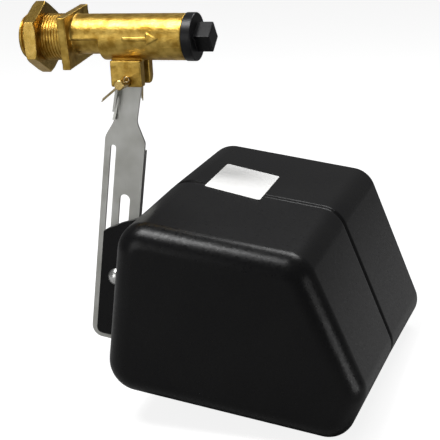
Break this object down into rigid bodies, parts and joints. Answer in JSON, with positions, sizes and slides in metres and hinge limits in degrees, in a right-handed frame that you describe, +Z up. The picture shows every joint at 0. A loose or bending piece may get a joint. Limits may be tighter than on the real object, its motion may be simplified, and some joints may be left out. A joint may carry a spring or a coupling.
{
  "type": "float valve",
  "caption": "Brass piston float valve with a threaded inlet, clevis-mounted sheet lever and a hollow angular plastic float clamped in the lever's slot.",
  "frame": {"origin": "on the valve's axis, in the plane where the flange seals on the tank wall", "axes": "+X along the valve from the inlet to the end plug, +Z up, -Y towards the side that shows the clamp bolt's head"},
  "size_m": [0.2119, 0.18, 0.2159],
  "materials": {
    "cast_brass": "cast, rough",
    "machined_brass": "machined, satin",
    "pin_brass": "turned, satin",
    "split_pin_brass": "drawn wire",
    "nozzle_plastic": "moulded",
    "piston_plastic": "moulded",
    "plug_plastic": "moulded, satin",
    "seal_rubber": "matt",
    "stainless_sheet": "mill finish, satin",
    "float_plastic": "blow-moulded, semi-gloss",
    "label_paper": "blank sticker",
    "zinc_steel": "zinc plated"
  },
  "bodies": {
    "root": {"valve_body": "cast_brass", "seat_nozzle": "nozzle_plastic", "nozzle_o_ring": "seal_rubber", "end_plug": "plug_plastic", "plug_gasket": "seal_rubber", "pivot_pin": "pin_brass", "split_pin_front": "split_pin_brass", "split_pin_rear": "split_pin_brass", "pivot_spacer_front": "piston_plastic", "pivot_spacer_rear": "piston_plastic"},
    "lock_nut": {"lock_nut": "machined_brass"},
    "piston": {"piston": "piston_plastic", "piston_seal": "seal_rubber"},
    "lever": {"lever": "stainless_sheet"},
    "float": {"float_front_half": "float_plastic", "float_rear_half": "float_plastic", "float_label": "label_paper", "float_bolt": "zinc_steel", "bolt_washer": "zinc_steel", "bolt_spring_washer": "zinc_steel"},
    "wing_nut": {"wing_nut": "zinc_steel"}
  },
  "joints": [
    {"name": "lever_swing", "type": "hinge", "parent": "root", "child": "lever", "pos_m": [0.0355, 0, -0.0235], "axis": [0, -1, 0], "range_deg": [0, 20]},
    {"name": "piston_slide", "type": "slide", "parent": "root", "child": "piston", "axis": [1, 0, 0], "range_m": [-0.00816, 0]},
    {"name": "float_slide", "type": "slide", "parent": "lever", "child": "float", "axis": [0.153, 0, 0.9882], "range_m": [-0.012, 0.045]},
    {"name": "lock_nut_spin", "type": "hinge", "parent": "root", "child": "lock_nut", "pos_m": [-0.01745, 0, 0], "axis": [1, 0, 0], "continuous": true},
    {"name": "wing_nut_spin", "type": "hinge", "parent": "float", "child": "wing_nut", "pos_m": [0.01803, 0.008, -0.14222], "axis": [0, 1, 0], "continuous": true}
  ],
  "couplings": [
    {"joint": "piston_slide", "follows": "lever_swing", "m_per_rad": -0.023376}
  ]
}
